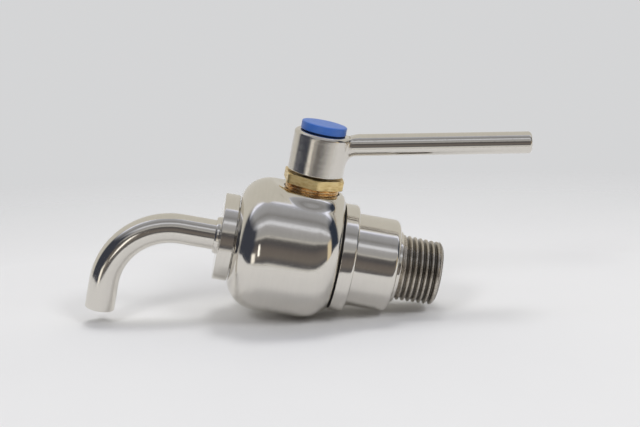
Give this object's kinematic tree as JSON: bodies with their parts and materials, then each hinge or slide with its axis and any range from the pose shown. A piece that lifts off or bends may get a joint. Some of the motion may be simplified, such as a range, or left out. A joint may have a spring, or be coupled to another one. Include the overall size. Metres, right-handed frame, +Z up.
{
  "type": "ball valve",
  "caption": "Lever-operated ball valve tap with a male pipe-thread inlet, a round body and a downturned spout; a quarter turn of the lever opens and shuts it.",
  "frame": {"origin": "on the pipe axis, in the plane of the inlet shoulder where the threaded nipple begins", "axes": "+X along the pipe axis, out of the inlet; +Z up along the valve stem; the spout points to -X and turns down to -Z; the lever lies over +X when the valve is open"},
  "size_m": [0.1315, 0.0432, 0.0823],
  "materials": {
    "polished_steel": "mirror-polished stainless steel with faint polishing lines",
    "brushed_steel": "finely turned and brushed stainless steel",
    "machined_steel": "as-machined stainless steel, slightly dull",
    "brass": "machined bare brass with tool marks",
    "blue_plastic": "matte blue moulded plastic",
    "black_rubber": "matte black rubber",
    "seat_plastic": "white fluoropolymer, waxy"
  },
  "bodies": {
    "valve": {"body": "polished_steel", "spout_flange": "polished_steel", "spout_tube": "polished_steel", "end_cap": "polished_steel", "body_gasket": "black_rubber", "front_seat": "seat_plastic", "rear_seat": "seat_plastic", "thrust_washer": "seat_plastic", "packing_ring_lower": "seat_plastic", "packing_ring_middle": "seat_plastic", "packing_ring_upper": "seat_plastic", "gland_ring": "machined_steel", "packing_nut": "brass", "stop_pin": "machined_steel"},
    "lever": {"ball": "polished_steel", "stem": "machined_steel", "stem_o_ring": "black_rubber", "handle_hub": "brushed_steel", "handle_rod": "polished_steel", "plain_washer": "machined_steel", "spring_washer": "machined_steel", "handle_screw": "machined_steel", "cap": "blue_plastic"}
  },
  "joints": [
    {"name": "lever_turn", "type": "hinge", "parent": "valve", "child": "lever", "pos_m": [-0.0307, 0, 0], "axis": [0, 0, -1], "range_deg": [0, 90]}
  ]
}
